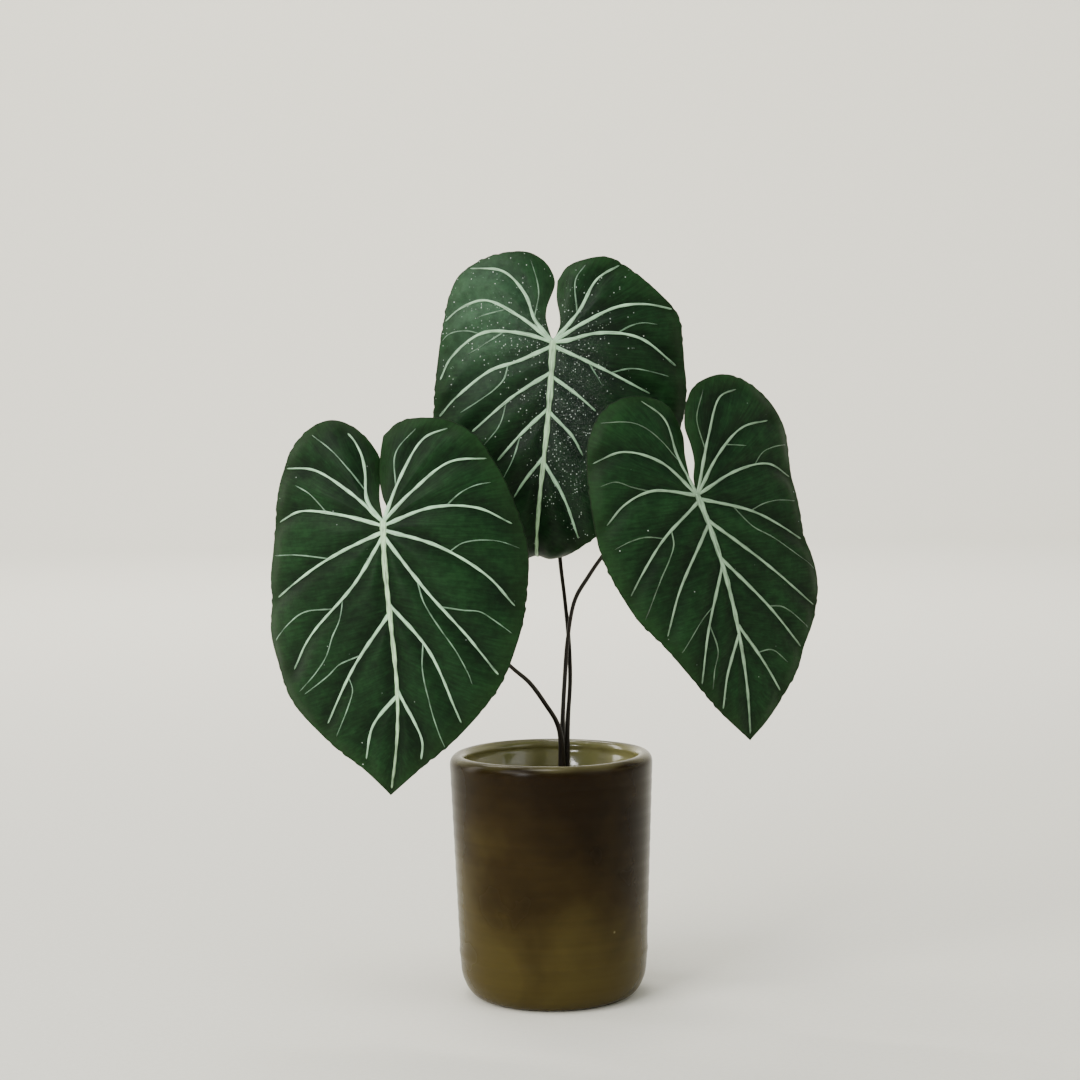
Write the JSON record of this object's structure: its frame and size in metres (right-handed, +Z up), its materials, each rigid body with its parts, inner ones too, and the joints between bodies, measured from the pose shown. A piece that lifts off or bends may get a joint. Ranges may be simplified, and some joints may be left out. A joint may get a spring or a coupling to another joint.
{
  "type": "potted philodendron gloriosum",
  "caption": "Small potted aroid: heart-shaped deep green leaves with broad pale raised veins on thin dark petioles, in a thick-walled glazed ceramic cup.",
  "frame": {"origin": "centre of the pot's flat foot, on the surface that it stands on", "axes": "+Z up along the pot's axis; the leaves' upper faces look towards -Y; +X to the right when looking at them"},
  "size_m": [0.1467, 0.0589, 0.2012],
  "materials": {
    "glazed_pot": "gloss",
    "potting_mix": "matte",
    "petiole": "satin",
    "leaf_blade": "satin",
    "leaf_vein": "matte"
  },
  "bodies": {
    "root": {"pot": "glazed_pot", "potting_mix": "potting_mix", "petiole_top": "petiole", "petiole_left": "petiole", "petiole_right": "petiole", "leaf_top": "leaf_blade", "leaf_left": "leaf_blade", "leaf_right": "leaf_blade", "veins_top": "leaf_vein", "veins_left": "leaf_vein", "veins_right": "leaf_vein"}
  },
  "joints": []
}
